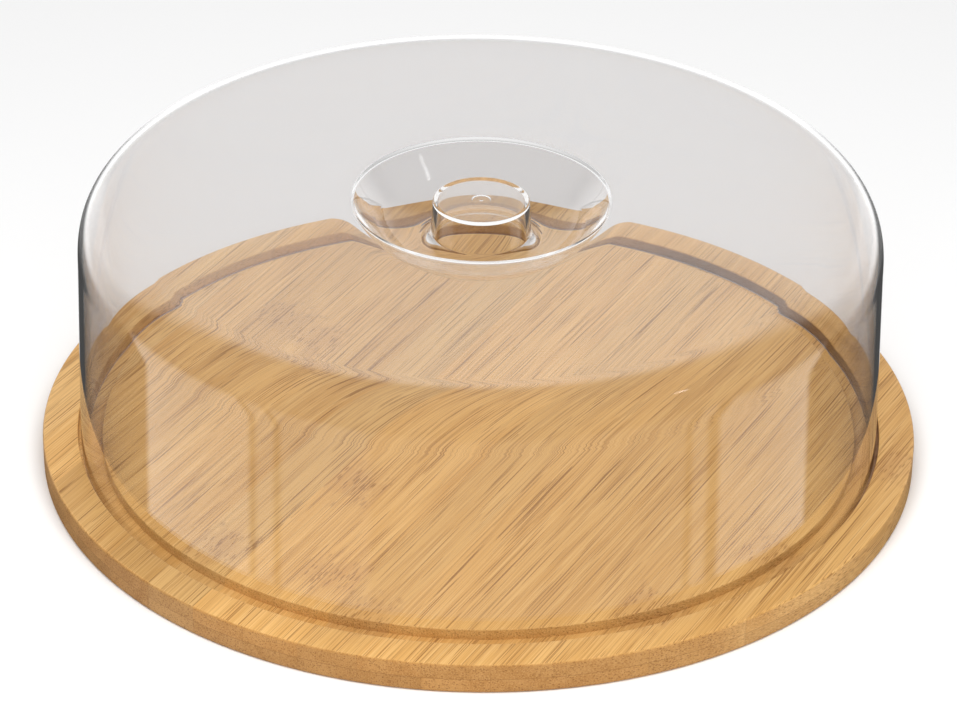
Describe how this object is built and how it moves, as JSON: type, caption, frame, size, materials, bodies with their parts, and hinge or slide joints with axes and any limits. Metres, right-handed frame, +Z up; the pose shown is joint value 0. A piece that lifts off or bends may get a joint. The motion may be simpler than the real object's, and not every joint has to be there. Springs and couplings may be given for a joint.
{
  "type": "cake stand dome",
  "caption": "Round laminated bamboo serving board with a rim groove, and a clear drum-shaped cake dome that lifts off by a knob standing in a finger recess.",
  "frame": {"origin": "centre of the board's flat underside, on the common axis of board and dome", "axes": "+Z up along the common axis of board, groove, dome and knob; +X to the right and +Y away as the object is seen from the front, with the bamboo grain running 62 degrees from +X"},
  "size_m": [0.32, 0.32, 0.1025],
  "materials": {
    "bamboo_bottom": "satin oiled bamboo, lower ply",
    "bamboo_top": "satin oiled bamboo, upper ply",
    "clear_plastic": "polished clear moulded plastic"
  },
  "bodies": {
    "board": {"bottom_strip_01": "bamboo_bottom", "bottom_strip_02": "bamboo_bottom", "bottom_strip_03": "bamboo_bottom", "bottom_strip_04": "bamboo_bottom", "bottom_strip_05": "bamboo_bottom", "bottom_strip_06": "bamboo_bottom", "bottom_strip_07": "bamboo_bottom", "bottom_strip_08": "bamboo_bottom", "bottom_strip_09": "bamboo_bottom", "bottom_strip_10": "bamboo_bottom", "bottom_strip_11": "bamboo_bottom", "bottom_strip_12": "bamboo_bottom", "bottom_strip_13": "bamboo_bottom", "bottom_strip_14": "bamboo_bottom", "bottom_strip_15": "bamboo_bottom", "bottom_strip_16": "bamboo_bottom", "top_strip_01": "bamboo_top", "top_strip_02": "bamboo_top", "top_strip_03": "bamboo_top", "top_strip_04": "bamboo_top", "top_strip_05": "bamboo_top", "top_strip_06": "bamboo_top", "top_strip_07": "bamboo_top", "top_strip_08": "bamboo_top", "top_strip_09": "bamboo_top", "top_strip_10": "bamboo_top", "top_strip_11": "bamboo_top", "top_strip_12": "bamboo_top", "top_strip_13": "bamboo_top", "top_strip_14": "bamboo_top", "top_strip_15": "bamboo_top", "top_strip_16": "bamboo_top"},
    "dome": {"dome": "clear_plastic"}
  },
  "joints": [
    {"name": "dome_lift", "type": "slide", "parent": "board", "child": "dome", "axis": [0, 0, 1], "range_m": [0, 0.15]}
  ]
}
